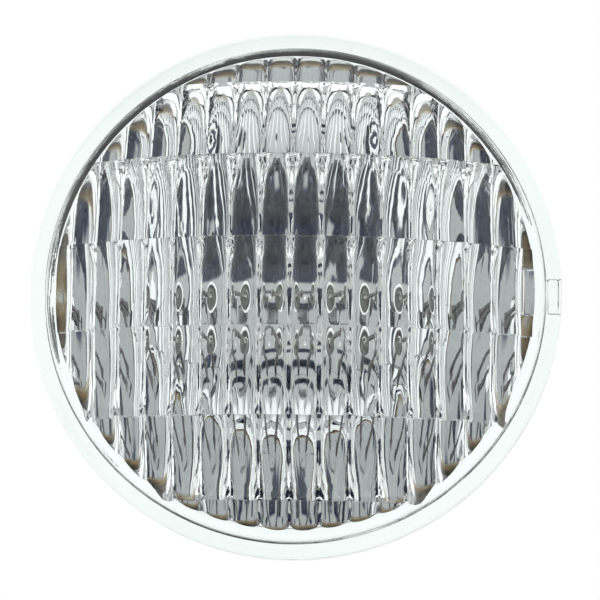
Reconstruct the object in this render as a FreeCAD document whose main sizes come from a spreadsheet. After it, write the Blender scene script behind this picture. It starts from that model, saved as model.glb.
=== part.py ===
import FreeCAD, Part
import math
import os

import Sketcher

# Sealed-beam spotlight bulb, 114 mm across the rim.
# The optical axis is Y: the lens looks along -Y and the terminals stand out along +Y.
# +Z is up. The origin is on the axis, in the plane where the lens meets the bowl.

document = FreeCAD.newDocument("sealed_beam_bulb")
sheet = document.addObject("Spreadsheet::Sheet", "Dimensions")

DIMENSIONS = [
    ("rim_diameter", 114.3),
    ("lens_flange_thickness", 3.0),
    ("bowl_flange_thickness", 3.0),
    ("flange_edge_bevel", 0.7),
    ("seam_edge_bevel", 0.4),
    ("flange_width", 3.65),
    ("side_wall", 3.3),
    ("side_wall_straight", 0.45),
    ("shoulder_round", 5.0),
    ("dome_radius", 91.0),
    ("lens_wall", 3.0),
    ("flute_pitch", 6.1),
    ("flute_radius", 4.5),
    ("flute_sink", 0.19),
    ("row_pitch", 18.4),
    ("row_tilt", 1.6),
    ("index_pad_height", 10.0),
    ("index_pad_reach", 2.6),
    ("index_pad_depth", 3.6),
    ("index_lug_height", 7.6),
    ("index_lug_radial", 2.4),
    ("index_lug_inset", 0.9),
    ("index_lug_depth", 1.2),
    ("mouth_land", 0.6),
    ("focal_length", 20.5),
    ("bowl_wall", 3.4),
    ("bowl_foot_wall", 3.0),
    ("boss_reach", 5.0),
    ("boss_margin", 1.9),
    ("boss_taper", 1.3),
    ("terminal_spacing", 25.4),
    ("post_hole_clearance", 1.6),
    ("tube_boss_margin", 2.0),
    ("tube_outer_diameter", 5.0),
    ("tube_wall", 1.0),
    ("tube_length", 4.0),
    ("tube_tip_length", 3.2),
    ("tube_tip_diameter", 1.2),
    ("tube_waist_length", 1.8),
    ("tube_waist_diameter", 3.8),
    ("ferrule_diameter", 12.6),
    ("ferrule_wall", 0.6),
    ("ferrule_end", 0.8),
    ("ferrule_seal_depth", 2.0),
    ("ferrule_stand", 2.8),
    ("ferrule_edge_bevel", 0.5),
    ("terminal_across_flats", 9.6),
    ("terminal_height", 4.2),
    ("terminal_chamfer", 0.6),
    ("screw_diameter", 4.16),
    ("screw_end_gap", 0.5),
    ("screw_running_clearance", 0.05),
    ("screw_head_diameter", 8.0),
    ("screw_head_height", 2.2),
    ("screw_head_bevel", 0.7),
    ("slot_width", 1.2),
    ("slot_depth", 1.2),
    ("washer_diameter", 9.2),
    ("washer_thickness", 0.9),
    ("washer_bore_clearance", 0.2),
    ("post_diameter", 1.8),
    ("post_straight", 7.5),
    ("post_bend_radius", 4.0),
    ("crimp_length", 2.2),
    ("crimp_height", 2.4),
    ("crimp_thickness", 1.3),
    ("filament_leg", 0.8),
    ("filament_reach", 3.2),
    ("coil_length", 5.0),
    ("coil_mean_diameter", 1.1),
    ("filament_wire", 0.26),
]

COIL_TURNS = 8
WIRE_SIDES = 6

for row_number, (alias, value) in enumerate(DIMENSIONS, start=1):
    sheet.set(f"A{row_number}", alias)
    sheet.set(f"B{row_number}", str(value))
    sheet.setAlias(f"B{row_number}", alias)
document.recompute()


class Size:
    """A length held as its number and as the formula over the sheet that gives it."""

    def __init__(self, number, formula):
        self.number = number
        self.formula = formula

    def __add__(self, other):
        other = as_size(other)
        return Size(self.number + other.number, f"({self.formula} + {other.formula})")

    def __sub__(self, other):
        other = as_size(other)
        return Size(self.number - other.number, f"({self.formula} - {other.formula})")

    def __mul__(self, other):
        other = as_size(other)
        return Size(self.number * other.number, f"({self.formula} * {other.formula})")

    def __truediv__(self, other):
        other = as_size(other)
        return Size(self.number / other.number, f"({self.formula} / {other.formula})")

    def __neg__(self):
        return Size(-self.number, f"(0 - {self.formula})")

    def root(self):
        return Size(math.sqrt(self.number), f"sqrt({self.formula})")


def as_size(value):
    return value if isinstance(value, Size) else Size(float(value), repr(float(value)))


def size(alias):
    return Size(float(sheet.get(alias)), f"Dimensions.{alias}")


# Planes along the axis and radii that more than one piece uses.

ZERO = as_size(0)
rim_radius = size("rim_diameter") / 2
lens_foot_radius = rim_radius - size("flange_width")
mouth_radius = lens_foot_radius - size("side_wall")
bowl_foot_radius = mouth_radius + size("bowl_foot_wall")
dome_radius = size("dome_radius")
flange_front = -size("lens_flange_thickness")
flange_rear = size("bowl_flange_thickness")
shoulder_plane = flange_front - size("side_wall_straight")
shoulder_across = lens_foot_radius - size("shoulder_round")
shoulder_distance = dome_radius - size("shoulder_round")
shoulder_reach = (
    shoulder_distance * shoulder_distance - shoulder_across * shoulder_across
).root()
dome_centre = shoulder_plane + shoulder_reach
lens_apex = dome_centre - dome_radius
focal_length = size("focal_length")
mirror_vertex = size("mouth_land") + mouth_radius * mouth_radius / (focal_length * 4)
focus = mirror_vertex - focal_length
bowl_back = mirror_vertex + size("bowl_wall")
boss_plane = mirror_vertex + size("boss_reach")
terminal_x = size("terminal_spacing") / 2
ferrule_rim = boss_plane - size("ferrule_seal_depth")
ferrule_back = boss_plane + size("ferrule_stand")
ferrule_radius = size("ferrule_diameter") / 2
ferrule_inside = ferrule_radius - size("ferrule_wall")
terminal_back = ferrule_back + size("terminal_height")
washer_back = terminal_back + size("washer_thickness")
head_back = washer_back + size("screw_head_height")
screw_radius = size("screw_diameter") / 2
crimp_middle = size("coil_length") / 2 + size("filament_leg")
crimp_front = focus + size("filament_reach")
rod_end = crimp_front + size("crimp_length") / 2
coil_mean_radius = size("coil_mean_diameter") / 2

ALONG_Y = FreeCAD.Rotation(FreeCAD.Vector(1, 0, 0), -90)


def bind(thing, place, length):
    """Tie one property of an object to the sheet."""
    thing.setExpression(place, length.formula)


def new(kind, name):
    return document.addObject(kind, name)


def start_body(name):
    return new("PartDesign::Body", name)


def origin_plane(body, role):
    return next(plane for plane in body.Origin.OriginFeatures if plane.Role == role)


def pin_point(sketch, curve, end, point, names):
    """Hold one end of a curve at a point that the sheet gives."""
    x, y = point
    if x is ZERO:
        sketch.addConstraint(Sketcher.Constraint("PointOnObject", curve, end, -2))
    else:
        index = sketch.addConstraint(Sketcher.Constraint("DistanceX", curve, end, x.number))
        sketch.renameConstraint(index, f"{names}_across")
        bind(sketch, f"Constraints.{names}_across", x)
    if y is ZERO:
        sketch.addConstraint(Sketcher.Constraint("PointOnObject", curve, end, -1))
    else:
        index = sketch.addConstraint(Sketcher.Constraint("DistanceY", curve, end, y.number))
        sketch.renameConstraint(index, f"{names}_along")
        bind(sketch, f"Constraints.{names}_along", y)


def arc_between(start, end, radius, bulge):
    """An arc from start to end; bulge is the side of the chord on which it stands out."""
    a = FreeCAD.Vector(start[0].number, start[1].number, 0)
    b = FreeCAD.Vector(end[0].number, end[1].number, 0)
    half = (b - a) / 2
    rise = radius - math.sqrt(radius * radius - half.Length * half.Length)
    side = FreeCAD.Vector(-half.y, half.x, 0).normalize() * bulge
    return Part.Arc(a, a + half + side * rise, b)


def profile_sketch(body, name, points, arcs=None):
    """A closed outline in the XY plane. arcs gives {index of first point: (radius, bulge)}."""
    arcs = arcs or {}
    sketch = body.newObject("Sketcher::SketchObject", name)
    sketch.AttachmentSupport = [(origin_plane(body, "XY_Plane"), "")]
    sketch.MapMode = "FlatFace"
    count = len(points)
    ends = []
    for index in range(count):
        start = points[index]
        end = points[(index + 1) % count]
        if index in arcs:
            radius, bulge = arcs[index]
            curve = arc_between(start, end, radius.number, bulge)
            number = sketch.addGeometry(curve, False)
            made = sketch.Geometry[number]
            first = FreeCAD.Vector(start[0].number, start[1].number, 0)
            forward = (made.StartPoint - first).Length < (made.EndPoint - first).Length
            ends.append((1, 2) if forward else (2, 1))
        else:
            line = Part.LineSegment(
                FreeCAD.Vector(start[0].number, start[1].number, 0),
                FreeCAD.Vector(end[0].number, end[1].number, 0),
            )
            number = sketch.addGeometry(line, False)
            ends.append((1, 2))
    for index in range(count):
        following = (index + 1) % count
        sketch.addConstraint(
            Sketcher.Constraint("Coincident", index, ends[index][1], following, ends[following][0])
        )
    for index, point in enumerate(points):
        pin_point(sketch, index, ends[index][0], point, f"point{index}")
    for index, (radius, _) in arcs.items():
        number = sketch.addConstraint(Sketcher.Constraint("Radius", index, radius.number))
        sketch.renameConstraint(number, f"arc{index}")
        bind(sketch, f"Constraints.arc{index}", radius)
    return sketch


def revolve(body, sketch, name):
    turned = body.newObject("PartDesign::Revolution", name)
    turned.Profile = sketch
    turned.ReferenceAxis = (sketch, ["V_Axis"])
    turned.Angle = 360.0
    document.recompute()
    return turned


def label(thing, name, offset=None):
    """Give a finished piece the name of its file, and its place beside the axis."""
    thing.Label = name
    if offset is not None:
        bind(thing, "Placement.Base.x", offset)
    return thing


def cylinder(name, radius, start, length, across=None, up=None):
    """A cylinder along the axis, from the plane start."""
    rod = new("Part::Cylinder", name)
    rod.Placement = FreeCAD.Placement(FreeCAD.Vector(0, 0, 0), ALONG_Y)
    bind(rod, "Radius", radius)
    bind(rod, "Height", length)
    bind(rod, "Placement.Base.y", start)
    if across is not None:
        bind(rod, "Placement.Base.x", across)
    if up is not None:
        bind(rod, "Placement.Base.z", up)
    return rod


def cone(name, first_radius, last_radius, start, length, across):
    """A tapered boss along the axis, from the plane start."""
    taper = new("Part::Cone", name)
    taper.Placement = FreeCAD.Placement(FreeCAD.Vector(0, 0, 0), ALONG_Y)
    bind(taper, "Radius1", first_radius)
    bind(taper, "Radius2", last_radius)
    bind(taper, "Height", length)
    bind(taper, "Placement.Base.y", start)
    bind(taper, "Placement.Base.x", across)
    return taper


def box(name, x_size, y_size, z_size, x_start, y_start):
    """A block standing astride the plane z = 0."""
    block = new("Part::Box", name)
    bind(block, "Length", x_size)
    bind(block, "Width", y_size)
    bind(block, "Height", z_size)
    bind(block, "Placement.Base.x", x_start)
    bind(block, "Placement.Base.y", y_start)
    bind(block, "Placement.Base.z", -z_size / 2)
    return block


def cut(name, base, tool):
    result = new("Part::Cut", name)
    result.Base = base
    result.Tool = tool
    return result


def join(name, pieces):
    result = new("Part::MultiFuse", name)
    result.Shapes = pieces
    return result


def overlap(name, pieces):
    result = new("Part::MultiCommon", name)
    result.Shapes = pieces
    return result


# Lens: a pressed dish with a smooth dome outside and rows of upright flutes inside.


def lens_blank():
    """The dish with no hollow: flange, side wall, rounded shoulder and dome."""
    body = start_body("lens_blank")
    dome_share = dome_radius / shoulder_distance
    edge = size("flange_edge_bevel")
    seam = size("seam_edge_bevel")
    points = [
        (ZERO, lens_apex),
        (shoulder_across * dome_share, dome_centre - shoulder_reach * dome_share),
        (lens_foot_radius, shoulder_plane),
        (lens_foot_radius, flange_front),
        (rim_radius - edge, flange_front),
        (rim_radius, flange_front + edge),
        (rim_radius, -seam),
        (rim_radius - seam, ZERO),
        (ZERO, ZERO),
    ]
    arcs = {0: (dome_radius, -1), 1: (size("shoulder_round"), -1)}
    sketch = profile_sketch(body, "lens_outline", points, arcs)
    revolve(body, sketch, "lens_turned")
    return body


def inner_radius():
    """The smooth dome on the inner side, from which the flutes stand."""
    return dome_radius.number - size("lens_wall").number


def mouth_arc():
    """The way along the inner dome from its middle to the edge of the mouth."""
    return inner_radius() * math.asin(mouth_radius.number / inner_radius())


def flutes_each_side():
    """How many flutes it takes to cover the mouth, each side of the middle."""
    return math.ceil(mouth_arc() / size("flute_pitch").number)


def rows_each_side():
    """How many rows it takes to cover the mouth, above and below the middle row."""
    return math.ceil(mouth_arc() / size("row_pitch").number - 0.5)


def row_angle(row):
    """The turn about the dome's centre from the middle row to this one."""
    return row * size("row_pitch").number / inner_radius()


def row_lean(row):
    """The lean of a row's flutes: the dome's own, less a tilt that sinks the row's outer end."""
    tilt = math.radians(size("row_tilt").number)
    if row == 0:
        return 0.0
    return row_angle(row) - math.copysign(tilt, row)


def flute_section(row):
    """The air behind one row of flutes, cut square to the flutes through the row's middle."""
    radius = size("flute_radius").number
    turn = size("flute_pitch").number / inner_radius()
    notch_reach = inner_radius() + size("flute_sink").number
    half_count = flutes_each_side()

    def notch(number):
        across = notch_reach * math.sin(number * turn)
        return FreeCAD.Vector(across, inner_radius() - notch_reach * math.cos(number * turn), 0)

    edges = []
    for number in range(-half_count, half_count):
        first = notch(number)
        last = notch(number + 1)
        half = (last - first) / 2
        rise = radius - math.sqrt(radius**2 - half.Length**2)
        inward = FreeCAD.Vector(-half.y, half.x, 0).normalize()
        edges.append(Part.Arc(first, first + half + inward * rise, last).toShape())
    left = notch(-half_count)
    right = notch(half_count)
    back_right = FreeCAD.Vector(right.x, inner_radius(), 0)
    back_left = FreeCAD.Vector(left.x, inner_radius(), 0)
    edges.append(Part.makeLine(right, back_right))
    edges.append(Part.makeLine(back_right, back_left))
    edges.append(Part.makeLine(back_left, left))
    section = new("Part::Feature", f"flute_section_{row + rows_each_side()}")
    section.Shape = Part.Face(Part.Wire(edges))
    along = dome_centre.number - inner_radius() * math.cos(row_angle(row))
    level = inner_radius() * math.sin(row_angle(row))
    section.Placement = FreeCAD.Placement(
        FreeCAD.Vector(0, along, level),
        FreeCAD.Rotation(FreeCAD.Vector(1, 0, 0), -math.degrees(row_lean(row))),
    )
    return section


def flute_row(row):
    """The air behind one row, trimmed to the row's own levels."""
    number = row + rows_each_side()
    lean = row_lean(row)
    air = new("Part::Extrusion", f"flute_run_{number}")
    air.Base = flute_section(row)
    air.DirMode = "Custom"
    air.Dir = FreeCAD.Vector(0, math.sin(lean), math.cos(lean))
    air.LengthFwd = size("row_pitch").number * 2
    air.LengthRev = size("row_pitch").number * 2
    air.Solid = True
    bottom = inner_radius() * math.sin(row_angle(row - 0.5))
    top = inner_radius() * math.sin(row_angle(row + 0.5))
    band = box(
        f"row_band_{number}",
        rim_radius * 2,
        -lens_apex * 2,
        as_size(top - bottom),
        -rim_radius,
        lens_apex,
    )
    bind(band, "Placement.Base.z", as_size(bottom))
    return overlap(f"flute_row_{number}", [air, band])


def fluted_hollow():
    """The space behind the lens: inside the smooth dome and clear of every flute."""
    outermost = rows_each_side()
    rows = [flute_row(row) for row in range(-outermost, outermost + 1)]
    mouth = cylinder("lens_mouth", mouth_radius, lens_apex, -lens_apex)
    dome = new("Part::Sphere", "inner_dome")
    bind(dome, "Radius", dome_radius - size("lens_wall"))
    bind(dome, "Placement.Base.y", dome_centre)
    return overlap("lens_hollow", [join("flute_rows", rows), mouth, dome])


def lens():
    """The dish, hollowed, with a flat pad on its side wall that marks its right-hand side."""
    hollowed = cut("lens_hollowed", lens_blank(), fluted_hollow())
    pad = box(
        "index_pad",
        size("index_pad_reach") + size("lens_wall") / 2,
        size("index_pad_depth"),
        size("index_pad_height"),
        mouth_radius - size("index_pad_reach"),
        flange_front - size("index_pad_depth"),
    )
    return label(join("lens_whole", [hollowed, pad]), "lens")


# Reflector bowl: a pressed paraboloid with a flange, a lug, two terminal bosses and a tube boss.


def parabola_edge(vertex, focal, radius):
    """Half a parabola about the Y axis, open towards the lens, out to a radius."""
    curve = Part.BezierCurve()
    curve.setPoles(
        [
            FreeCAD.Vector(0, vertex, 0),
            FreeCAD.Vector(radius / 2, vertex, 0),
            FreeCAD.Vector(radius, vertex - radius**2 / (4 * focal), 0),
        ]
    )
    return curve.toShape()


def turned_outline(name, edges):
    """A solid of revolution about the axis from the edges of half its section."""
    outline = new("Part::Feature", f"{name}_outline")
    outline.Shape = Part.Face(Part.Wire(Part.__sortEdges__(edges)))
    turned = new("Part::Revolution", name)
    turned.Source = outline
    turned.Axis = FreeCAD.Vector(0, 1, 0)
    turned.Angle = 360.0
    turned.Solid = True
    return turned


def polyline(points):
    """Straight edges through points given as (across, along)."""
    vectors = [FreeCAD.Vector(across, along, 0) for across, along in points]
    return [Part.makeLine(a, b) for a, b in zip(vectors, vectors[1:])]


def bowl_blank():
    """The bowl with no hollow, read from the sheet: flange and back."""
    back = bowl_back.number
    foot = bowl_foot_radius.number
    rim = rim_radius.number
    rear = flange_rear.number
    edge = size("flange_edge_bevel").number
    seam = size("seam_edge_bevel").number
    flange = [
        (0, back),
        (0, 0),
        (rim - seam, 0),
        (rim, seam),
        (rim, rear - edge),
        (rim - edge, rear),
        (foot, rear),
    ]
    back_focal = foot**2 / (4 * (back - rear))
    edges = [parabola_edge(back, back_focal, foot)]
    edges.extend(polyline(flange))
    return turned_outline("bowl_blank", edges)


def mirror_space():
    """The paraboloid of air in front of the mirror, with the straight land at its mouth."""
    mouth = mouth_radius.number
    vertex = mirror_vertex.number
    land = size("mouth_land").number
    edges = [parabola_edge(vertex, focal_length.number, mouth)]
    edges.extend(polyline([(mouth, land), (mouth, -land), (0, -land), (0, vertex)]))
    return turned_outline("mirror_space", edges)


def bowl():
    boss_start = mirror_vertex - size("bowl_wall")
    boss_length = boss_plane - boss_start
    bosses = [
        cone(
            f"{side}_boss",
            ferrule_radius + size("boss_margin") + size("boss_taper"),
            ferrule_radius + size("boss_margin"),
            boss_start,
            boss_length,
            across,
        )
        for side, across in SIDES
    ]
    tube_boss_radius = size("tube_outer_diameter") / 2 + size("tube_boss_margin")
    bosses.append(cylinder("tube_boss", tube_boss_radius, boss_start, boss_length))
    lug_inner = rim_radius - size("index_lug_inset") - size("index_lug_radial")
    lug = box(
        "index_lug",
        size("index_lug_radial"),
        size("index_lug_depth") + flange_rear / 2,
        size("index_lug_height"),
        lug_inner,
        flange_rear / 2,
    )
    whole = join("bowl_with_bosses", [bowl_blank(), *bosses, lug])
    drills = [mirror_space()]
    for side, across in SIDES:
        drills.append(
            cylinder(
                f"{side}_post_hole",
                size("post_diameter") / 2 + size("post_hole_clearance"),
                boss_start - size("boss_reach"),
                boss_length + size("boss_reach") * 2,
                across,
            )
        )
        groove_outer = cylinder(
            f"{side}_groove_outer",
            ferrule_radius,
            ferrule_rim,
            size("ferrule_seal_depth") * 2,
            across,
        )
        groove_inner = cylinder(
            f"{side}_groove_inner",
            ferrule_inside,
            ferrule_rim - size("ferrule_wall"),
            size("ferrule_seal_depth") * 3,
            across,
        )
        drills.append(cut(f"{side}_groove", groove_outer, groove_inner))
    tube_bore = size("tube_outer_diameter") / 2 - size("tube_wall")
    drills.append(
        cylinder(
            "tube_hole",
            tube_bore,
            boss_start - size("boss_reach"),
            boss_length + size("boss_reach") * 2,
        )
    )
    hollows = join("bowl_hollows", drills)
    return label(cut("bowl_whole", whole, hollows), "reflector_bowl")


# Exhaust tube: drawn glass, fused to the bowl and melted shut at its tip.


def exhaust_tube():
    body = start_body("exhaust_tube_body")
    outer = size("tube_outer_diameter") / 2
    inner = outer - size("tube_wall")
    shoulder = boss_plane + size("tube_length")
    waist = shoulder + size("tube_waist_length")
    tip = shoulder + size("tube_tip_length")
    points = [
        (inner, boss_plane),
        (outer, boss_plane),
        (outer, shoulder),
        (size("tube_waist_diameter") / 2, waist),
        (size("tube_tip_diameter") / 2, tip),
        (ZERO, tip),
        (ZERO, shoulder),
        (inner, shoulder - size("tube_wall")),
    ]
    sketch = profile_sketch(body, "tube_outline", points)
    revolve(body, sketch, "tube_turned")
    return label(body, "exhaust_tube")


# Ferrule: a drawn metal cup whose thin rim is fused into the glass boss.


def ferrule(side, across):
    body = start_body(f"{side}_ferrule_body")
    inside_end = ferrule_back - size("ferrule_end")
    bevel = size("ferrule_edge_bevel")
    points = [
        (ferrule_inside, ferrule_rim),
        (ferrule_radius, ferrule_rim),
        (ferrule_radius, ferrule_back - bevel),
        (ferrule_radius - bevel, ferrule_back),
        (ZERO, ferrule_back),
        (ZERO, inside_end),
        (ferrule_inside, inside_end),
    ]
    sketch = profile_sketch(body, f"{side}_ferrule_outline", points)
    revolve(body, sketch, f"{side}_ferrule_turned")
    return label(body, f"{side}_ferrule", across)


# Lead post: a bent rod from the ferrule's end to a crimp that grips the filament's leg.


def tangent_point(centre, radius, target):
    """Where a line from the target touches a circle, on the side away from the axis."""
    away = target - centre
    turn = math.acos(radius / away.Length)
    angle = math.atan2(away.y, away.x) - turn
    return centre + FreeCAD.Vector(math.cos(angle), math.sin(angle), 0) * radius


def post_route():
    """The left post's middle line: off the ferrule, one bend, then a slant to the crimp."""
    route = new("Sketcher::SketchObject", "post_route")
    start_along = ferrule_back - size("ferrule_end")
    bend_along = start_along - size("post_straight")
    bend_radius = size("post_bend_radius")
    start = FreeCAD.Vector(-terminal_x.number, start_along.number, 0)
    bend = FreeCAD.Vector(-terminal_x.number, bend_along.number, 0)
    centre = bend + FreeCAD.Vector(bend_radius.number, 0, 0)
    end = FreeCAD.Vector(-crimp_middle.number, rod_end.number, 0)
    leave = tangent_point(centre, bend_radius.number, end)
    outward = ((bend + leave) / 2 - centre).normalize()
    route.addGeometry(Part.LineSegment(start, bend), False)
    route.addGeometry(Part.Arc(bend, centre + outward * bend_radius.number, leave), False)
    route.addGeometry(Part.LineSegment(leave, end), False)
    pin_point(route, 0, 1, (-terminal_x, start_along), "start")
    pin_point(route, 2, 2, (-crimp_middle, rod_end), "end")
    route.addConstraint(Sketcher.Constraint("Vertical", 0))
    route.addConstraint(Sketcher.Constraint("Tangent", 0, 2, 1, 1))
    route.addConstraint(Sketcher.Constraint("Tangent", 1, 2, 2, 1))
    number = route.addConstraint(Sketcher.Constraint("DistanceY", 0, 2, bend_along.number))
    route.renameConstraint(number, "bend_start")
    bind(route, "Constraints.bend_start", bend_along)
    number = route.addConstraint(Sketcher.Constraint("Radius", 1, bend_radius.number))
    route.renameConstraint(number, "bend_radius")
    bind(route, "Constraints.bend_radius", bend_radius)
    return route


def lead_posts():
    """The left post, and the right one as its mirror image."""
    ring = new("Part::Circle", "post_ring")
    ring.Placement = FreeCAD.Placement(FreeCAD.Vector(0, 0, 0), ALONG_Y)
    bind(ring, "Radius", size("post_diameter") / 2)
    bind(ring, "Placement.Base.x", -terminal_x)
    bind(ring, "Placement.Base.y", ferrule_back - size("ferrule_end"))
    route = post_route()
    document.recompute()
    rod = new("Part::Sweep", "post_rod")
    rod.Sections = [ring]
    rod.Spine = (route, [f"Edge{index}" for index in range(1, len(route.Shape.Edges) + 1)])
    rod.Solid = True
    rod.Frenet = True
    crimp = box(
        "crimp",
        size("crimp_thickness"),
        size("crimp_length"),
        size("crimp_height"),
        -crimp_middle - size("crimp_thickness") / 2,
        crimp_front,
    )
    left = label(join("post_whole", [rod, crimp]), "left_lead_post")
    right = new("Part::Mirroring", "post_mirrored")
    right.Source = left
    right.Normal = FreeCAD.Vector(1, 0, 0)
    return [left, label(right, "right_lead_post")]


# Filament: a coil across the focus, whose ends turn back and run into the crimps.


def coil_end(side):
    """One bare end of the wire: out of the coil, round a corner and back into its crimp."""
    wire = size("filament_wire").number / 2
    level = -coil_mean_radius.number
    across = crimp_middle.number
    start = size("coil_length").number / 2 - wire
    turn = size("filament_leg").number / 2
    bend = turn * math.sqrt(0.5)
    first = FreeCAD.Vector(side * start, focus.number, level)
    leave = FreeCAD.Vector(side * (across - turn), focus.number, level)
    middle = FreeCAD.Vector(
        side * (across - turn + bend), focus.number + turn - bend, level
    )
    meet = FreeCAD.Vector(side * across, focus.number + turn, level)
    last = FreeCAD.Vector(side * across, crimp_front.number, level)
    route = Part.Wire(
        [
            Part.makeLine(first, leave),
            Part.Arc(leave, middle, meet).toShape(),
            Part.makeLine(meet, last),
        ]
    )
    ring = Part.Wire(Part.makeCircle(wire, first, FreeCAD.Vector(side, 0, 0)))
    return route.makePipeShell([ring], True, True)


def filament():
    turns = COIL_TURNS
    length = size("coil_length").number
    wire = size("filament_wire").number / 2
    mean = coil_mean_radius.number
    helix = Part.makeHelix(length / turns, length, mean)
    corners = []
    for step in range(WIRE_SIDES + 1):
        angle = 2 * math.pi * step / WIRE_SIDES
        corners.append(
            FreeCAD.Vector(mean + wire * math.cos(angle), 0, wire * math.sin(angle))
        )
    coil = Part.Wire(helix).makePipeShell([Part.makePolygon(corners)], True, True)
    coil.Placement = FreeCAD.Placement(
        FreeCAD.Vector(-length / 2, focus.number, 0),
        FreeCAD.Rotation(FreeCAD.Vector(0, 1, 0), 90),
    )
    thing = new("Part::Feature", "filament_coil")
    thing.Shape = coil.fuse([coil_end(-1), coil_end(1)]).removeSplitter()
    return label(thing, "filament")


# Terminal: a hexagonal brass post brazed on the ferrule, bored for its screw.


def terminal(side, across):
    flats = size("terminal_across_flats")
    hexagon = new("Part::Prism", f"{side}_terminal_hexagon")
    hexagon.Polygon = 6
    hexagon.Placement = FreeCAD.Placement(FreeCAD.Vector(0, 0, 0), ALONG_Y)
    bind(hexagon, "Circumradius", flats / as_size(3).root())
    bind(hexagon, "Height", size("terminal_height"))
    bind(hexagon, "Placement.Base.y", ferrule_back)
    corner = flats / as_size(3).root()
    chamfer = size("terminal_chamfer")
    trim = cone(
        f"{side}_terminal_trim",
        corner + size("terminal_height") - chamfer,
        corner - chamfer,
        ferrule_back,
        size("terminal_height"),
        ZERO,
    )
    shaped = overlap(f"{side}_terminal_shaped", [hexagon, trim])
    hole = cylinder(
        f"{side}_terminal_hole",
        screw_radius + size("screw_running_clearance"),
        ferrule_back,
        size("terminal_height") * 2,
    )
    return label(cut(f"{side}_terminal_whole", shaped, hole), f"{side}_terminal", across)


# Washer: flat, carried by the screw.


def washer(side, across):
    body = start_body(f"{side}_washer_body")
    inner = screw_radius + size("washer_bore_clearance")
    outer = size("washer_diameter") / 2
    points = [
        (inner, terminal_back),
        (outer, terminal_back),
        (outer, washer_back),
        (inner, washer_back),
    ]
    sketch = profile_sketch(body, f"{side}_washer_outline", points)
    revolve(body, sketch, f"{side}_washer_turned")
    return label(body, f"{side}_washer", across)


# Screw: binding head with a slot, and a plain shank of the thread's full diameter.


def screw(side, across):
    body = start_body(f"{side}_screw_body")
    head = size("screw_head_diameter") / 2
    shank_end = ferrule_back + size("screw_end_gap")
    bevel = size("screw_head_bevel")
    points = [
        (ZERO, shank_end),
        (screw_radius, shank_end),
        (screw_radius, washer_back),
        (head, washer_back),
        (head, head_back - bevel),
        (head - bevel, head_back),
        (ZERO, head_back),
    ]
    sketch = profile_sketch(body, f"{side}_screw_outline", points)
    revolve(body, sketch, f"{side}_screw_turned")
    slot = box(
        f"{side}_slot",
        size("screw_head_diameter") * 2,
        size("slot_depth") * 2,
        size("slot_width"),
        -size("screw_head_diameter"),
        head_back - size("slot_depth"),
    )
    return label(cut(f"{side}_screw_whole", body, slot), f"{side}_screw", across)


SIDES = [("left", -terminal_x), ("right", terminal_x)]

pieces = [lens(), bowl(), exhaust_tube(), filament()]
pieces.extend(lead_posts())
for side_name, side_across in SIDES:
    pieces.append(ferrule(side_name, side_across))
    pieces.append(terminal(side_name, side_across))
    pieces.append(washer(side_name, side_across))
    pieces.append(screw(side_name, side_across))

document.recompute()

for thing in document.Objects:
    bad_state = {"Invalid", "Error"} & set(thing.State)
    if bad_state:
        raise RuntimeError(f"{thing.Label} is {bad_state}")

os.makedirs("parts", exist_ok=True)
for piece in pieces:
    if piece.Shape.isNull() or not piece.Shape.isValid():
        raise RuntimeError(f"{piece.Label} has no valid shape")
for piece in pieces:
    piece.Shape.exportStep(f"parts/{piece.Label}.step")

overall = head_back - lens_apex
print(f"overall length {overall.number:.2f} mm, {len(pieces)} pieces")
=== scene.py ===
"""Looks for the sealed-beam lamp: fluted lens, mirrored bowl, coil, posts and terminals."""

import math

import bmesh
import bpy
from mathutils import Matrix, Vector


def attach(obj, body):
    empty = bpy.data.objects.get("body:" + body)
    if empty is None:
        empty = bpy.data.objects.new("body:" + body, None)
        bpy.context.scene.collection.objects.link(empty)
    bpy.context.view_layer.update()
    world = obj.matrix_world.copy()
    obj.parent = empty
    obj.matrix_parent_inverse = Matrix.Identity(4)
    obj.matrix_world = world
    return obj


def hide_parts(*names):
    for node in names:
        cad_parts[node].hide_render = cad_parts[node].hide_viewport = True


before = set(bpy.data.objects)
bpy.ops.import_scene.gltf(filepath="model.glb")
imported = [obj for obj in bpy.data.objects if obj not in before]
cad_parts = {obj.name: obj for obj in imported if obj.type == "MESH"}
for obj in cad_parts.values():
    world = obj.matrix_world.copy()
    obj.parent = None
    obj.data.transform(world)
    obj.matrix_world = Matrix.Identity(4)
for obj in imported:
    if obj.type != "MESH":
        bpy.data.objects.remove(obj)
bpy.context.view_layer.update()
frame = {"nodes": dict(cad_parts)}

MM = 0.001

# Lengths are in millimetres. The lens looks along -Y, and the rim's seam lies at Y = 0.
RIM_RADIUS = 57.15
FOOT_RADIUS = 53.5
MOUTH_RADIUS = 50.2
FLANGE_THICKNESS = 3.0
FLANGE_BEVEL = 0.7
SEAM_BEVEL = 0.4
SEAM_GAP = 0.01

# The lens.
DOME_RADIUS = 91.0
SHOULDER_ROUND = 5.0
SHOULDER_ACROSS = FOOT_RADIUS - SHOULDER_ROUND
SHOULDER_ALONG = -3.45
DOME_CENTRE = SHOULDER_ALONG + math.sqrt((DOME_RADIUS - SHOULDER_ROUND) ** 2 - SHOULDER_ACROSS**2)
INNER_RADIUS = 88.0
WALL_FILLET = 3.2
FOOT_FILLET = 0.6
FLUTE_PITCH = 6.1
FLUTE_RADIUS = 3.9
FLUTE_SINK = 0.12
FLUTES_EACH_SIDE = 9
FLUTE_STEPS = 14
ROW_PITCH = 18.4
ROW_BOW = 16.0
ROW_LINES = 6
STEP_RUN = 0.03
AIR_MARGIN = 3
AIR_BACK = 40
ROWS_EACH_SIDE = 3
ROUND_STEPS = 240

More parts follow.
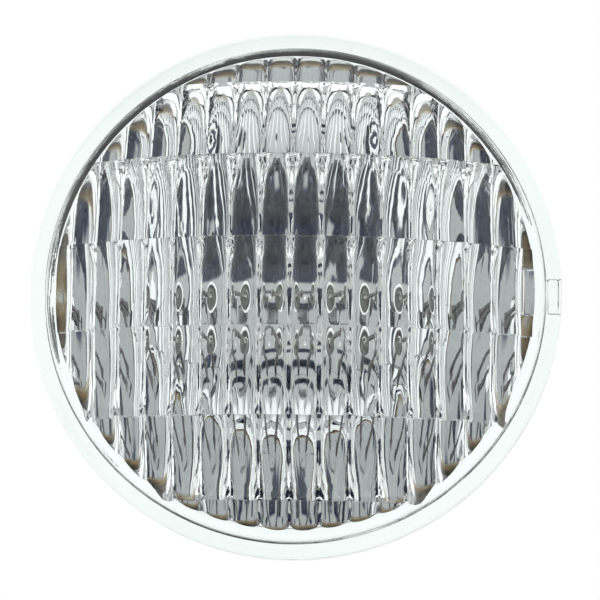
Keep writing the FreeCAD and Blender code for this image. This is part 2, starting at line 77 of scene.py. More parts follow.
# The bowl, its film and what stands in it.
FOCAL_LENGTH = 20.5
MOUTH_LAND = 0.6
MIRROR_VERTEX = MOUTH_LAND + MOUTH_RADIUS**2 / (4 * FOCAL_LENGTH)
FOCUS = MIRROR_VERTEX - FOCAL_LENGTH
BOWL_BACK = MIRROR_VERTEX + 3.4
BOWL_FOOT = MOUTH_RADIUS + 3.0
BOSS_PLANE = MIRROR_VERTEX + 5.0
BOSS_START = MIRROR_VERTEX - 3.4
TERMINAL_X = 12.7
BOSS_TOP_RADIUS = 8.2
BOSS_BASE_RADIUS = 9.5
FERRULE_BACK = BOSS_PLANE + 2.8
POST_HOLE_RADIUS = 2.5
TUBE_BORE = 1.5
FILM_GAP = 0.03
FILM_THICKNESS = 0.03
FILM_WINDOW = 6.7
BORE_START = 15.0
BORE_END = 44.0

COIL_LENGTH = 5.0
COIL_TURNS = 8
COIL_RADIUS = 0.55
WIRE_RADIUS = 0.13
CRIMP_X = 3.3
CRIMP_FRONT = FOCUS + 3.2
CRIMP_LENGTH = 2.2
POST_RADIUS = 0.9
POST_BEND = 4.0
POST_STRAIGHT = 7.5

TERMINAL_BACK = FERRULE_BACK + 4.2
WASHER_BACK = TERMINAL_BACK + 0.9
HEAD_BACK = WASHER_BACK + 2.2
SCREW_RADIUS = 2.08
THREAD_PITCH = 0.794
HEAD_RADIUS = 4.0

SIDES = (("left", -1), ("right", 1))


# Helpers


def finished(name, shape, body, replaced=(), sharp_degrees=28):
    """A mesh object from a bmesh, smooth but for its sharp edges, riding on its body."""
    for face in shape.faces:
        face.smooth = True
    limit = math.radians(sharp_degrees)
    for edge in shape.edges:
        if len(edge.link_faces) == 2:
            edge.smooth = edge.calc_face_angle(0) < limit
    mesh = bpy.data.meshes.new(name)
    shape.to_mesh(mesh)
    shape.free()
    thing = bpy.data.objects.new(name, mesh)
    bpy.context.scene.collection.objects.link(thing)
    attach(thing, body)
    if replaced:
        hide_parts(*replaced)
    return thing


def outward(shape):
    """Turns the faces of a closed shape outwards."""
    bmesh.ops.recalc_face_normals(shape, faces=shape.faces)
    if shape.calc_volume(signed=True) < 0:
        bmesh.ops.reverse_faces(shape, faces=shape.faces)


def turned(points, steps=ROUND_STEPS, centre_x=0.0):
    """A closed body turned about an axis along Y, from (radius, along) points of its section."""
    shape = bmesh.new()
    verts = [shape.verts.new((radius * MM, along * MM, 0)) for radius, along in points]
    edges = [shape.edges.new(pair) for pair in zip(verts, verts[1:])]
    bmesh.ops.spin(
        shape,
        geom=verts + edges,
        axis=(0, 1, 0),
        cent=(0, 0, 0),
        dvec=(0, 0, 0),
        angle=math.tau,
        steps=steps,
        use_merge=True,
    )
    bmesh.ops.remove_doubles(shape, verts=shape.verts, dist=0.0005 * MM)
    outward(shape)
    bmesh.ops.translate(shape, verts=shape.verts, vec=(centre_x * MM, 0, 0))
    return shape


def arc(centre, radius, start, end, steps):
    """Points along an arc in the section, angles in degrees from the outward direction."""
    points = []
    for step in range(steps + 1):
        angle = math.radians(start + (end - start) * step / steps)
        points.append(
            (centre[0] + radius * math.cos(angle), centre[1] + radius * math.sin(angle))
        )
    return points


def rod(radius, start, end, centre_x=0.0, steps=48):
    """A plain closed cylinder along Y."""
    return turned([(0, start), (radius, start), (radius, end), (0, end)], steps, centre_x)


def block(low, high, bevel=0.0):
    """A box from its low corner to its high corner, with rounded edges."""
    shape = bmesh.new()
    bmesh.ops.create_cube(shape, size=1)
    low, high = Vector(low), Vector(high)
    bmesh.ops.scale(shape, verts=shape.verts, vec=(high - low) * MM)
    bmesh.ops.translate(shape, verts=shape.verts, vec=(low + high) / 2 * MM)
    if bevel:
        bmesh.ops.bevel(
            shape,
            geom=shape.edges[:],
            offset=bevel * MM,
            offset_type="OFFSET",
            segments=3,
            profile=0.5,
            affect="EDGES",
            material=-1,
        )
    return shape


def carved(base, tool, operation):
    """The base joined with, cut by or kept within the tool."""
    things = []
    for shape in (base, tool):
        mesh = bpy.data.meshes.new("carving")
        shape.to_mesh(mesh)
        shape.free()
        thing = bpy.data.objects.new("carving", mesh)
        bpy.context.scene.collection.objects.link(thing)
        things.append(thing)
    modifier = things[0].modifiers.new("carve", "BOOLEAN")
    modifier.operation = operation
    modifier.object = things[1]
    modifier.solver = "EXACT"
    bpy.context.view_layer.update()
    result = bmesh.new()
    result.from_object(things[0], bpy.context.evaluated_depsgraph_get())
    for thing in things:
        mesh = thing.data
        bpy.data.objects.remove(thing)
        bpy.data.meshes.remove(mesh)
    return result


def joined(first, second):
    """Both shapes in one bmesh, each still closed by itself."""
    mesh = bpy.data.meshes.new("joining")
    second.to_mesh(mesh)
    second.free()
    first.from_mesh(mesh)
    bpy.data.meshes.remove(mesh)
    return first


# Lens


def dome_arc(radius, start_across, end_across, steps):
    """Points on a dome's section between two distances from the axis."""
    first = math.asin(start_across / radius)
    last = math.asin(end_across / radius)
    points = []
    for step in range(steps + 1):
        angle = first + (last - first) * step / steps
        points.append((radius * math.sin(angle), DOME_CENTRE - radius * math.cos(angle)))
    return points


def lens_blank():
    """The pressed dish with no hollow: dome, shoulder, side wall, foot and flange."""
    front = -FLANGE_THICKNESS
    shoulder_turn = math.degrees(math.atan2(SHOULDER_ALONG - DOME_CENTRE, SHOULDER_ACROSS))
    shoulder = arc((SHOULDER_ACROSS, SHOULDER_ALONG), SHOULDER_ROUND, shoulder_turn, 0, 16)
    section = dome_arc(DOME_RADIUS, 0, shoulder[0][0], 64)[:-1]
    section += shoulder
    section += arc(
        (FOOT_RADIUS + FOOT_FILLET, front - FOOT_FILLET), FOOT_FILLET, 180, 90, 6
    )
    section += arc((RIM_RADIUS - FLANGE_BEVEL, front + FLANGE_BEVEL), FLANGE_BEVEL, -90, 0, 6)
    seam_turn = math.degrees(math.asin(1 - SEAM_GAP / SEAM_BEVEL))
    section += arc((RIM_RADIUS - SEAM_BEVEL, -SEAM_BEVEL), SEAM_BEVEL, 0, seam_turn, 4)
    section.append((0, -SEAM_GAP))
    return turned(section)


def smooth_hollow():
    """The air behind the lens without its flutes: inner dome, fillet and side wall."""
    across = MOUTH_RADIUS - WALL_FILLET
    along = DOME_CENTRE - math.sqrt((INNER_RADIUS - WALL_FILLET) ** 2 - across**2)
    turn = math.degrees(math.atan2(along - DOME_CENTRE, across))
    fillet = arc((across, along), WALL_FILLET, turn, 0, 12)
    section = dome_arc(INNER_RADIUS, 0, fillet[0][0], 80)[:-1]
    section += fillet
    section += [(MOUTH_RADIUS, 1.0), (0, 1.0)]
    return turned(section)


def flute_section():
    """One row's section, as (across, inward) points from its dome's middle, all flutes in line."""
    turn = FLUTE_PITCH / INNER_RADIUS
    notch_reach = INNER_RADIUS + FLUTE_SINK
    half_chord = notch_reach * math.sin(turn / 2)
    sweep = math.asin(half_chord / FLUTE_RADIUS)
    centre_reach = notch_reach * math.cos(turn / 2) + FLUTE_RADIUS * math.cos(sweep)
    points = []
    for flute in range(-FLUTES_EACH_SIDE, FLUTES_EACH_SIDE):
        middle = (flute + 0.5) * turn
        last = FLUTE_STEPS + (flute == FLUTES_EACH_SIDE - 1)
        for step in range(last):
            angle = sweep * (2 * step / FLUTE_STEPS - 1)
            sideways = FLUTE_RADIUS * math.sin(angle)
            reach = centre_reach - FLUTE_RADIUS * math.cos(angle)
            across = reach * math.sin(middle) + sideways * math.cos(middle)
            inward = INNER_RADIUS - reach * math.cos(middle) + sideways * math.sin(middle)
            points.append((across, inward))
    return points


def flute_point(across, inward, row, level):
    """Where a line of a row's flutes, dished about the row's middle, meets a level."""
    lean = row * ROW_PITCH / INNER_RADIUS
    foot_along = DOME_CENTRE - INNER_RADIUS * math.cos(lean) + inward * math.cos(lean)
    foot_level = INNER_RADIUS * math.sin(lean) - inward * math.sin(lean)
    run = (level - foot_level) / math.cos(lean)
    bow = run * run / (2 * ROW_BOW)
    return Vector((across, foot_along + run * math.sin(lean) + bow, level)) * MM


def flute_air():
    """The air behind all the rows of flutes, wider than the mouth and closed at its back."""
    section = flute_section()
    columns = len(section) + 1
    rows = 2 * ROWS_EACH_SIDE + 1
    row_step = ROW_LINES + 1
    lines = row_step * rows + 1
    air = bmesh.new()
    bmesh.ops.create_grid(air, x_segments=columns, y_segments=lines, size=1)
    for vert in air.verts:
        column = round((vert.co.x + 1) / 2 * columns)
        line = round((vert.co.y + 1) / 2 * lines)
        across, inward = section[min(max(column - 1, 0), columns - 2)]
        row, share = divmod(min(max(line - 1, 0), lines - 2), row_step)
        row -= ROWS_EACH_SIDE
        edge = row - 0.5 + share / ROW_LINES
        level = INNER_RADIUS * math.sin(edge * ROW_PITCH / INNER_RADIUS)
        level += STEP_RUN * (0.5 - share / ROW_LINES)
        place = flute_point(across, inward, row, level)
        if column in (0, columns):
            beside = place.x + math.copysign(AIR_MARGIN, across) * MM
            place = Vector((beside, AIR_BACK * MM, place.z))
        if line in (0, lines):
            beyond = place.z + math.copysign(AIR_MARGIN, level) * MM
            place = Vector((place.x, AIR_BACK * MM, beyond))
        vert.co = place
    bmesh.ops.remove_doubles(air, verts=air.verts, dist=0.0005 * MM)
    air.normal_update()
    if sum(face.normal.y * face.calc_area() for face in air.faces) > 0:
        bmesh.ops.reverse_faces(air, faces=air.faces)
    rim = [edge for edge in air.edges if edge.is_boundary]
    for back in bmesh.ops.holes_fill(air, edges=rim, sides=0)["faces"]:
        back.normal_update()
        if back.normal.y < 0:
            back.normal_flip()
    return air


def index_pad():
    """The flat pad that marks the lens's right-hand side."""
    return block((47.6, -6.6, -5.0), (51.6, -2.6, 5.0), 0.5)


def build_lens():
    hollow = carved(smooth_hollow(), flute_air(), "INTERSECT")
    shape = carved(lens_blank(), hollow, "DIFFERENCE")
    shape = carved(shape, index_pad(), "UNION")
    bmesh.ops.remove_doubles(shape, verts=shape.verts, dist=0.002 * MM)
    bmesh.ops.dissolve_degenerate(shape, dist=0.001 * MM, edges=shape.edges)
    cracks = [edge for edge in shape.edges if edge.is_boundary]
    bmesh.ops.holes_fill(shape, edges=cracks, sides=0)
    return finished("fluted_lens", shape, "bulb", ["lens"], 24)


# Bowl


def parabola(vertex, foot_radius, foot_along, steps, start=0.0):
    """Points of a parabola from near its vertex out to its foot."""
    points = []
    for step in range(steps + 1):
        radius = start + (foot_radius - start) * step / steps
        points.append((radius, vertex - (vertex - foot_along) * (radius / foot_radius) ** 2))
    return points


def bowl_blank():
    rear = FLANGE_THICKNESS
    section = parabola(BOWL_BACK, BOWL_FOOT, rear, 44)
    section += arc((RIM_RADIUS - FLANGE_BEVEL, rear - FLANGE_BEVEL), FLANGE_BEVEL, 90, 0, 6)
    section += arc((RIM_RADIUS - SEAM_BEVEL, SEAM_BEVEL), SEAM_BEVEL, 0, -90, 4)
    section.append((0, 0))
    return turned(section)


def mirror_air():
    section = parabola(MIRROR_VERTEX, MOUTH_RADIUS, MOUTH_LAND, 60)
    section += [(MOUTH_RADIUS, -1.0), (0, -1.0)]
    return turned(section)


def terminal_boss(side):
    section = [(0, BOSS_START), (BOSS_BASE_RADIUS, BOSS_START)]
    section += arc((BOSS_TOP_RADIUS - 0.5, BOSS_PLANE - 0.5), 0.5, 10, 90, 5)
    section.append((0, BOSS_PLANE))
    return turned(section, 96, side * TERMINAL_X)


def index_lug():
    """The small block behind the flange that turns the lamp the right way up."""
    return block((53.85, 1.5, -3.8), (56.25, 4.2, 3.8), 0.5)


def build_bowl():
    outworks = joined(joined(terminal_boss(-1), terminal_boss(1)), index_lug())
    shape = carved(bowl_blank(), outworks, "UNION")
    shape = carved(shape, rod(4.5, BOSS_START, BOSS_PLANE, 0, 72), "UNION")
    shape = carved(shape, mirror_air(), "DIFFERENCE")
    bores = rod(TUBE_BORE, BORE_START, BORE_END)
    for _, side in SIDES:
        hole = rod(POST_HOLE_RADIUS, BORE_START, BORE_END, side * TERMINAL_X)
        bores = joined(bores, hole)
    shape = carved(shape, bores, "DIFFERENCE")
    return finished("bowl_glass", shape, "bulb", ["reflector_bowl"], 24)


def build_film():
    """The aluminium inside the bowl, with a bare window round each post."""
    front = parabola(MIRROR_VERTEX - FILM_GAP - FILM_THICKNESS, MOUTH_RADIUS, 0.6, 110, 1.6)
    back = parabola(MIRROR_VERTEX - FILM_GAP, MOUTH_RADIUS, 0.6, 110, 1.6)
    shape = turned(front + back[::-1] + front[:1])
    windows = joined(
        rod(FILM_WINDOW, BORE_START, BORE_END, -TERMINAL_X, 72),
        rod(FILM_WINDOW, BORE_START, BORE_END, TERMINAL_X, 72),
    )
    shape = carved(shape, windows, "DIFFERENCE")
    return finished("mirror_film", shape, "bulb", (), 60)


# Coil and posts


def wire_along(points, radius, sides=16):
    """A round closed wire through points in the horizontal plane of the axis."""
    curve = bpy.data.curves.new("wire", "CURVE")
    curve.dimensions = "3D"
    curve.bevel_depth = radius * MM
    curve.bevel_resolution = sides // 2 - 2
    curve.use_fill_caps = True
    spline = curve.splines.new("POLY")
    spline.points.add(len(points) - 1)
    for place, point in zip(spline.points, points):
        place.co = (*(Vector(point) * MM), 1)
    thing = bpy.data.objects.new("wire", curve)
    bpy.context.scene.collection.objects.link(thing)
    bpy.context.view_layer.update()
    shape = bmesh.new()
    mesh = thing.evaluated_get(bpy.context.evaluated_depsgraph_get()).to_mesh()
    shape.from_mesh(mesh)
    bpy.data.objects.remove(thing)
    bpy.data.curves.remove(curve)
    bmesh.ops.remove_doubles(shape, verts=shape.verts, dist=0.0001 * MM)
    outward(shape)
    return shape


def build_filament():
    """The coil across the focus, and its two ends that turn back into the crimps."""
    shape = bmesh.new()
    ring = bmesh.ops.create_circle(shape, segments=12, radius=WIRE_RADIUS * MM, cap_ends=True)
    turn = Matrix.Rotation(math.radians(90), 3, "X")
    bmesh.ops.rotate(shape, verts=ring["verts"], matrix=turn)
    start = Vector((-COIL_LENGTH / 2, FOCUS, -COIL_RADIUS)) * MM
    bmesh.ops.translate(shape, verts=ring["verts"], vec=start)
    steps = 28 * COIL_TURNS
    bmesh.ops.spin(
        shape,
        geom=shape.faces[:],
        cent=(0, FOCUS * MM, 0),
        axis=(1, 0, 0),
        dvec=(COIL_LENGTH * MM / steps, 0, 0),
        angle=-math.tau * COIL_TURNS,
        steps=steps,
    )
    outward(shape)
    for _, side in SIDES:
        bend = arc((0, 0), 0.4, -90, 0, 6)
        points = [(side * (COIL_LENGTH / 2 - WIRE_RADIUS), FOCUS, -COIL_RADIUS)]
        points += [
            (side * (CRIMP_X - 0.4 + across), FOCUS + 0.4 + along, -COIL_RADIUS)
            for across, along in bend
        ]
        points.append((side * CRIMP_X, CRIMP_FRONT + 1.0, -COIL_RADIUS))
        shape = joined(shape, wire_along(points, WIRE_RADIUS, 12))
    return finished("filament_coil", shape, "bulb", ["filament"], 60)


def post_points(side):
    """A post's middle line: straight off the ferrule, a bend, then a slant to its crimp."""
    start = FERRULE_BACK - 0.8
    bend = start - POST_STRAIGHT
    centre = Vector((-TERMINAL_X + POST_BEND, bend))
    end = Vector((-CRIMP_X, CRIMP_FRONT + CRIMP_LENGTH / 2))
    away = end - centre
    turn = math.acos(POST_BEND / away.length)
    leave = math.atan2(away.y, away.x) - turn
    points = [(-TERMINAL_X, start)]
    for step in range(9):
        angle = math.pi + (leave % math.tau - math.pi) * step / 8
        points.append(
            (centre.x + POST_BEND * math.cos(angle), centre.y + POST_BEND * math.sin(angle))
        )
    points.append(tuple(end))
    return [(-side * across, along, 0) for across, along in points]


def build_post(name, side):
    shape = wire_along(post_points(side), POST_RADIUS, 24)
    low = (side * CRIMP_X - 0.65, CRIMP_FRONT, -1.2)
    high = (side * CRIMP_X + 0.65, CRIMP_FRONT + CRIMP_LENGTH, 1.2)
    shape = joined(shape, block(low, high, 0.2))
    return finished(f"{name}_post", shape, "bulb", [f"{name}_lead_post"], 35)


# Screws


def build_screw(name, side):
    """A binding-head screw: slotted rounded head and a threaded shank."""
    head = turned(
        [
            (0, WASHER_BACK),
            *arc((HEAD_RADIUS - 0.15, WASHER_BACK + 0.15), 0.15, -90, 0, 3),
            *arc((HEAD_RADIUS - 0.7, HEAD_BACK - 0.7), 0.7, 0, 90, 8),
            (0, HEAD_BACK),
        ],
        96,
    )
    slot = block((-9, HEAD_BACK - 1.2, -0.6), (9, HEAD_BACK + 1, 0.6))
    shape = carved(head, slot, "DIFFERENCE")
    core = turned(
        [
            (0, FERRULE_BACK + 0.5),
            (SCREW_RADIUS - 0.75, FERRULE_BACK + 0.5),
            (SCREW_RADIUS - 0.42, FERRULE_BACK + 0.9),
            (SCREW_RADIUS - 0.42, WASHER_BACK + 0.2),
            (0, WASHER_BACK + 0.2),
        ],
        48,
    )
    shape = joined(shape, core)
    thread = bmesh.new()
    foot = FERRULE_BACK + 0.9
    root = SCREW_RADIUS - 0.5
    section = [(root, 0.0), (SCREW_RADIUS, 0.33), (SCREW_RADIUS, 0.42), (root, 0.75)]
    verts = [thread.verts.new((across * MM, (foot + along) * MM, 0)) for across, along in section]
    face = thread.faces.new(verts)
    turns = math.floor((WASHER_BACK - foot - 0.8) / THREAD_PITCH)
    bmesh.ops.spin(
        thread,
        geom=[face],
        cent=(0, 0, 0),
        axis=(0, 1, 0),
        dvec=(0, THREAD_PITCH * MM / 40, 0),
        angle=math.tau * turns,
        steps=40 * turns,
    )
    outward(thread)
    shape = joined(shape, thread)
    bmesh.ops.translate(shape, verts=shape.verts, vec=(side * TERMINAL_X * MM, 0, 0))
    return finished(
        f"{name}_binding_screw", shape, f"{name}_clamp_screw", [f"{name}_screw"], 30
    )


# Finishes shared by the materials


WORN_OUTPUTS = [
    ("Colour", "NodeSocketColor"),
    ("Roughness", "NodeSocketFloat"),
    ("Height", "NodeSocketFloat"),
]


def new_group(name, inputs, outputs):
    """A node group with named inputs and outputs: (name, socket type, default)."""
    group = bpy.data.node_groups.new(name, "ShaderNodeTree")
    for title, kind, default in inputs:
        socket = group.interface.new_socket(name=title, in_out="INPUT", socket_type=kind)
        socket.default_value = default
    for title, kind in outputs:
        group.interface.new_socket(name=title, in_out="OUTPUT", socket_type=kind)
    return (
        group,
        group.nodes,
        group.links,
        group.nodes.new("NodeGroupInput"),
        group.nodes.new("NodeGroupOutput"),
    )


def object_place(nodes):
    return nodes.new("ShaderNodeTexCoord").outputs["Object"]


def noise(nodes, links, place, scale, detail=3.0, distortion=0.0):
    texture = nodes.new("ShaderNodeTexNoise")
    links.new(place, texture.inputs["Vector"])
    texture.inputs["Scale"].default_value = scale
    texture.inputs["Detail"].default_value = detail
    texture.inputs["Distortion"].default_value = distortion
    return texture.outputs["Fac"]


def stretched(nodes, links, place, scale):
    mapping = nodes.new("ShaderNodeMapping")
    mapping.inputs["Scale"].default_value = scale
    links.new(place, mapping.inputs["Vector"])
    return mapping.outputs["Vector"]


def ranged(nodes, links, value, low, high, start, end):
    ramp = nodes.new("ShaderNodeMapRange")
    ramp.interpolation_type = "SMOOTHSTEP"
    links.new(value, ramp.inputs["Value"])
    ramp.inputs["From Min"].default_value = low
    ramp.inputs["From Max"].default_value = high
    ramp.inputs["To Min"].default_value = start
    ramp.inputs["To Max"].default_value = end
    return ramp.outputs["Result"]


def math_of(nodes, links, operation, first, second):
    """One Math node; either term may be a socket or a number."""
    math_node = nodes.new("ShaderNodeMath")
    math_node.operation = operation
    for socket, term in zip(math_node.inputs, (first, second)):
        if isinstance(term, (int, float)):
            socket.default_value = term
        else:
            links.new(term, socket)
    return math_node.outputs[0]


def blended(nodes, links, factor, first, second):
    """A colour between two; each may be a socket or a colour."""
    mix = nodes.new("ShaderNodeMix")
    mix.data_type = "RGBA"
    links.new(factor, mix.inputs["Factor"])
    for socket, colour in ((mix.inputs[6], first), (mix.inputs[7], second)):
        if isinstance(colour, tuple):
            socket.default_value = (*colour, 1)
        else:
            links.new(colour, socket)
    return mix.outputs[2]


def pressed_skin_group():
    """The slow waves, chill marks and faint specks that pressing leaves in glass."""
    group, nodes, links, source, out = new_group(
        "pressed_glass_skin",
        [("Wave Scale", "NodeSocketFloat", 90.0), ("Tint", "NodeSocketColor", (1, 1, 1, 1))],
        [("Height", "NodeSocketFloat"), ("Tint", "NodeSocketColor"), ("Haze", "NodeSocketFloat")],
    )
    place = object_place(nodes)
    waves = nodes.new("ShaderNodeTexNoise")
    links.new(place, waves.inputs["Vector"])
    links.new(source.outputs["Wave Scale"], waves.inputs["Scale"])
    waves.inputs["Detail"].default_value = 1.5
    chill = noise(nodes, links, place, 420.0, 2.0, 0.3)
    fine = math_of(nodes, links, "MULTIPLY", chill, 0.12)
    links.new(
        math_of(nodes, links, "ADD", waves.outputs["Fac"], fine), out.inputs["Height"]
    )
    cloud = ranged(nodes, links, noise(nodes, links, place, 30.0), 0.35, 0.7, 0.0, 1.0)
    deeper = nodes.new("ShaderNodeMix")
    deeper.data_type = "RGBA"
    deeper.blend_type = "MULTIPLY"
    deeper.inputs["Factor"].default_value = 1.0
    links.new(source.outputs["Tint"], deeper.inputs[6])
    links.new(blended(nodes, links, cloud, (1, 1, 1), (0.985, 0.992, 0.99)), deeper.inputs[7])
    links.new(deeper.outputs[2], out.inputs["Tint"])
    specks = noise(nodes, links, place, 2600.0, 2.0)
    links.new(ranged(nodes, links, specks, 0.72, 0.8, 0.0, 0.05), out.inputs["Haze"])
    return group


def metal_wear_group():
    """Handled metal: dull patches, fine drawing lines and faint stains."""
    group, nodes, links, source, out = new_group(
        "handled_metal",
        [
            ("Colour", "NodeSocketColor", (0.6, 0.6, 0.6, 1)),
            ("Stain", "NodeSocketColor", (0.3, 0.28, 0.25, 1)),
            ("Roughness", "NodeSocketFloat", 0.3),
        ],
        WORN_OUTPUTS,
    )
    place = object_place(nodes)
    patches = noise(nodes, links, place, 260.0, 6.0, 0.4)
    stains = ranged(nodes, links, patches, 0.5, 0.72, 0.0, 0.7)
    links.new(
        blended(nodes, links, stains, source.outputs["Colour"], source.outputs["Stain"]),
        out.inputs["Colour"],
    )
    lines = noise(nodes, links, stretched(nodes, links, place, (1.0, 14.0, 1.0)), 700.0, 3.0)
    dull = math_of(nodes, links, "MULTIPLY_ADD", patches, 0.3)
    dull.node.inputs[2].default_value = -0.12
    rough = math_of(nodes, links, "ADD", source.outputs["Roughness"], dull)
    rough = math_of(nodes, links, "ADD", rough, math_of(nodes, links, "MULTIPLY", lines, 0.08))
    links.new(math_of(nodes, links, "MAXIMUM", rough, 0.06), out.inputs["Roughness"])
    links.new(lines, out.inputs["Height"])
    return group


def away_from_axis(nodes, links, place):
    """The distance of a place from the lamp's axis."""
    flat = nodes.new("ShaderNodeVectorMath")
    flat.operation = "MULTIPLY"
    flat.inputs[1].default_value = (1, 0, 1)
    links.new(place, flat.inputs[0])
    length = nodes.new("ShaderNodeVectorMath")
    length.operation = "LENGTH"
    links.new(flat.outputs["Vector"], length.inputs[0])
    return length.outputs["Value"]


def film_group():
    """Aluminium flashed on glass: bright, a little cloudy, burnt tan where the rim was sealed."""
    group, nodes, links, source, out = new_group(
        "flashed_aluminium",
        [("Metal", "NodeSocketColor", (0.9, 0.91, 0.92, 1))],
        WORN_OUTPUTS,
    )
    place = object_place(nodes)
    ragged = noise(nodes, links, place, 140.0, 5.0)
    reach = away_from_axis(nodes, links, place)
    wander = math_of(nodes, links, "MULTIPLY_ADD", ragged, 0.0030)
    wander.node.inputs[2].default_value = -0.0015
    reach = math_of(nodes, links, "ADD", reach, wander)
    burnt = ranged(nodes, links, reach, 0.0489, 0.0502, 0.0, 1.0)
    browned = blended(nodes, links, burnt, (0.62, 0.44, 0.22), (0.11, 0.085, 0.06))
    edge = ranged(nodes, links, reach, 0.0483, 0.0494, 0.0, 1.0)
    links.new(
        blended(nodes, links, edge, source.outputs["Metal"], browned), out.inputs["Colour"]
    )
    cloudy = ranged(nodes, links, noise(nodes, links, place, 55.0, 4.0), 0.45, 0.75, 0.0, 0.05)
    links.new(
        math_of(nodes, links, "ADD", cloudy, math_of(nodes, links, "MULTIPLY", edge, 0.35)),
        out.inputs["Roughness"],
    )
    links.new(noise(nodes, links, place, 75.0, 2.0), out.inputs["Height"])
    return group


# Materials


def new_material(name):
    material = bpy.data.materials.new(name)
    material.use_nodes = True
    nodes = material.node_tree.nodes
    return material, nodes, material.node_tree.links, nodes["Principled BSDF"]


def use_group(nodes, group, **values):
    node = nodes.new("ShaderNodeGroup")
    node.node_tree = group
    for title, value in values.items():
        node.inputs[title.replace("_", " ")].default_value = value
    return node


def raise_skin(nodes, links, shader, height, strength, distance):
    bump = nodes.new("ShaderNodeBump")
    bump.inputs["Strength"].default_value = strength
    bump.inputs["Distance"].default_value = distance
    links.new(height, bump.inputs["Height"])
    links.new(bump.outputs["Normal"], shader.inputs["Normal"])


def glass(name, skin, tint, waves, depth):
    material, nodes, links, shader = new_material(name)
    shader.inputs["IOR"].default_value = 1.474
    shader.inputs["Transmission Weight"].default_value = 1.0
    press = use_group(nodes, skin, Wave_Scale=waves, Tint=(*tint, 1))
    links.new(press.outputs["Tint"], shader.inputs["Base Color"])
    links.new(press.outputs["Haze"], shader.inputs["Roughness"])
    raise_skin(nodes, links, shader, press.outputs["Height"], 1.0, depth)
    return material


def metal(name, wear, colour, stain, roughness):
    material, nodes, links, shader = new_material(name)
    shader.inputs["Metallic"].default_value = 1.0
    worn = use_group(
        nodes, wear, Colour=(*colour, 1), Stain=(*stain, 1), Roughness=roughness
    )
    links.new(worn.outputs["Colour"], shader.inputs["Base Color"])
    links.new(worn.outputs["Roughness"], shader.inputs["Roughness"])
    raise_skin(nodes, links, shader, worn.outputs["Height"], 0.4, 0.00002)
    return material


def aluminium_film(film):
    material, nodes, links, shader = new_material("aluminium_film")
    shader.inputs["Metallic"].default_value = 1.0
    flashed = use_group(nodes, film)
    links.new(flashed.outputs["Colour"], shader.inputs["Base Color"])
    links.new(flashed.outputs["Roughness"], shader.inputs["Roughness"])
    raise_skin(nodes, links, shader, flashed.outputs["Height"], 1.0, 0.00006)
    return material


def dress(thing, material):
    thing.data.materials.clear()
    thing.data.materials.append(material)


# World and studio


def direction(azimuth, elevation):
    """The direction towards a place seen from the lamp: 0 is in front, 90 is at its +X side."""
    a, e = math.radians(azimuth), math.radians(elevation)
    return Vector((math.sin(a) * math.cos(e), -math.cos(a) * math.cos(e), math.sin(e)))


# A grey wall in front, white panels at the sides and behind, and dark gaps between them:
# azimuth from and to, elevation from and to, soft edge, all in degrees, then brightness.
WALL = 0.56
FULL_SWEEP = 181
PANELS = [
    ("left panel", -150, -74, -80, 70, 8, 1.25),
    ("right panel", 74, 150, -70, 70, 8, 1.25),
    ("back paper", 140, 220, -91, 91, 14, 1.1),
    ("left gap", -73, -66, -60, 60, 3, 0.08),
    ("right gap", 66, 73, -60, 60, 3, 0.08),
    ("ceiling", -FULL_SWEEP, FULL_SWEEP, 64, 91, 10, 1.2),
    ("upper gap", -40, 44, 37, 47, 4, 0.02),
    ("middle gap", -22, 22, 18, 26, 4, 0.05),
    ("front gap", -45, 60, -34, -11, 6, 0.06),
    ("lower gap", -66, 66, -64, -30, 6, 0.02),
]
NAVY = (0.42, 0.52, 1.0)
PALE = (0.955, 0.985, 0.975)


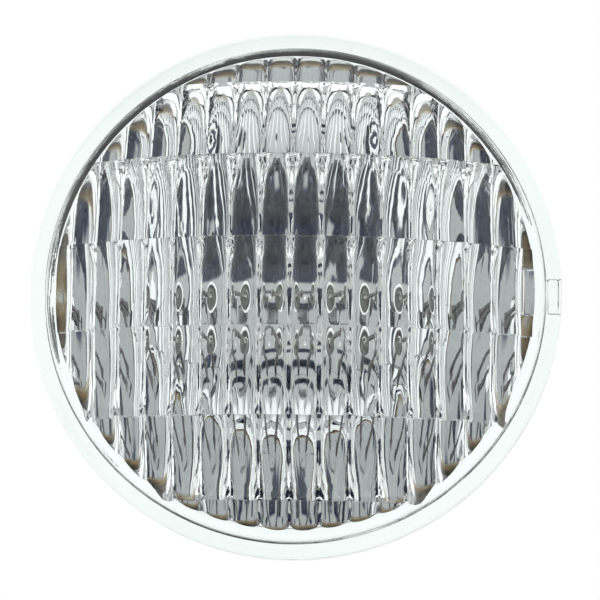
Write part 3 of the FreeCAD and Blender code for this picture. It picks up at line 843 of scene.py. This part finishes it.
def build_world():
    world = bpy.data.worlds.new("studio")
    bpy.context.scene.world = world
    world.use_nodes = True
    nodes, links = world.node_tree.nodes, world.node_tree.links
    nodes.clear()
    output = nodes.new("ShaderNodeOutputWorld")
    split = nodes.new("ShaderNodeSeparateXYZ")
    links.new(nodes.new("ShaderNodeTexCoord").outputs["Generated"], split.inputs[0])
    toward = math_of(nodes, links, "MULTIPLY", split.outputs["Y"], -1.0)
    turn = math_of(nodes, links, "ARCTAN2", split.outputs["X"], toward)
    azimuth = math_of(nodes, links, "MULTIPLY", turn, math.degrees(1))
    rise = nodes.new("ShaderNodeMath")
    rise.operation = "ARCSINE"
    links.new(split.outputs["Z"], rise.inputs[0])
    elevation = math_of(nodes, links, "MULTIPLY", rise.outputs[0], math.degrees(1))

    def within(value, low, high, soft):
        """A mask that is 1 between two angles and fades over the soft edge."""
        opening = ranged(nodes, links, value, low - soft / 2, low + soft / 2, 0.0, 1.0)
        closing = ranged(nodes, links, value, high - soft / 2, high + soft / 2, 1.0, 0.0)
        return math_of(nodes, links, "MULTIPLY", opening, closing)

    whole_turn = math_of(nodes, links, "WRAP", azimuth, 270.0)
    whole_turn.node.inputs[2].default_value = -90.0
    level = ranged(nodes, links, elevation, -90.0, -60.0, 0.8, WALL)
    for _, first, last, low, high, soft, brightness in PANELS:
        around = whole_turn if last > FULL_SWEEP else azimuth
        mask = math_of(
            nodes,
            links,
            "MULTIPLY",
            within(around, first, last, soft),
            within(elevation, low, high, soft),
        )
        mix = nodes.new("ShaderNodeMix")
        links.new(mask, mix.inputs["Factor"])
        links.new(level, mix.inputs["A"])
        mix.inputs["B"].default_value = brightness
        level = mix.outputs["Result"]
    surroundings = nodes.new("ShaderNodeBackground")
    depth = ranged(nodes, links, level, 0.03, 0.4, 0.0, 1.0)
    links.new(blended(nodes, links, depth, NAVY, PALE), surroundings.inputs["Color"])
    links.new(level, surroundings.inputs["Strength"])
    paper = nodes.new("ShaderNodeBackground")
    paper.inputs["Color"].default_value = (1, 1, 1, 1)
    light_path = nodes.new("ShaderNodeLightPath")
    choose = nodes.new("ShaderNodeMixShader")
    links.new(light_path.outputs["Is Camera Ray"], choose.inputs[0])
    links.new(surroundings.outputs[0], choose.inputs[1])
    links.new(paper.outputs[0], choose.inputs[2])
    links.new(choose.outputs[0], output.inputs[0])


def build_floor():
    shape = bmesh.new()
    bmesh.ops.create_grid(shape, x_segments=1, y_segments=1, size=3)
    bmesh.ops.translate(shape, verts=shape.verts, vec=(0, 0, -0.1))
    mesh = bpy.data.meshes.new("pale_floor")
    shape.to_mesh(mesh)
    shape.free()
    floor = bpy.data.objects.new("pale_floor", mesh)
    bpy.context.scene.collection.objects.link(floor)
    floor.visible_glossy = False
    floor.visible_transmission = False
    material, nodes, links, shader = new_material("pale_paper")
    shader.inputs["Roughness"].default_value = 0.9
    grain = noise(nodes, links, object_place(nodes), 40.0)
    fibres = ranged(nodes, links, grain, 0.3, 0.7, 0.0, 1.0)
    links.new(
        blended(nodes, links, fibres, (0.86, 0.86, 0.85), (0.84, 0.84, 0.83)),
        shader.inputs["Base Color"],
    )
    dress(floor, material)


def build_camera():
    """At the photograph's place: a little to the lamp's right and below it."""
    away = direction(3.0, -9.3)
    distance = 0.53
    aim = Vector((0.0011, 0, -0.0013))
    camera = bpy.data.objects.new("camera", bpy.data.cameras.new("camera"))
    bpy.context.scene.collection.objects.link(camera)
    camera.data.sensor_width = 36
    camera.data.lens = 147.5
    camera.location = away * distance
    look = (aim - camera.location).to_track_quat("-Z", "Y").to_matrix()
    roll = Matrix.Rotation(math.radians(0.9), 3, "Z")
    camera.matrix_world = Matrix.Translation(camera.location) @ (look @ roll).to_4x4()
    bpy.context.scene.camera = camera


def build_studio():
    build_world()
    build_floor()
    build_camera()
    scene = bpy.context.scene
    scene.view_settings.view_transform = "Standard"
    scene.cycles.max_bounces = 24
    scene.cycles.transmission_bounces = 20
    scene.cycles.glossy_bounces = 12
    scene.cycles.use_denoising = True


def build_lamp():
    skin = pressed_skin_group()
    wear = metal_wear_group()
    bowl_glass = glass("pressed_bowl_glass", skin, (0.96, 0.98, 0.975), 70.0, 0.00008)
    nickel = metal("nickel_wire", wear, (0.42, 0.4, 0.38), (0.12, 0.1, 0.09), 0.22)
    alloy = metal("ferrule_alloy", wear, (0.5, 0.49, 0.47), (0.2, 0.17, 0.13), 0.34)
    brass = metal("terminal_brass", wear, (0.72, 0.56, 0.28), (0.3, 0.2, 0.1), 0.26)
    plated = metal("plated_screw", wear, (0.66, 0.65, 0.62), (0.36, 0.33, 0.28), 0.22)
    tungsten = metal("tungsten_wire", wear, (0.2, 0.2, 0.21), (0.08, 0.08, 0.09), 0.3)
    dress(build_lens(), glass("pressed_lens_glass", skin, (0.975, 0.988, 0.984), 90.0, 0.00012))
    dress(build_bowl(), bowl_glass)
    dress(build_film(), aluminium_film(film_group()))
    dress(build_filament(), tungsten)
    nodes = frame["nodes"]
    dress(nodes["exhaust_tube"], bowl_glass)
    for name, side in SIDES:
        dress(build_post(name, side), nickel)
        dress(build_screw(name, side), plated)
        dress(nodes[f"{name}_ferrule"], alloy)
        dress(nodes[f"{name}_terminal"], brass)
        dress(nodes[f"{name}_washer"], plated)


build_lamp()
build_studio()
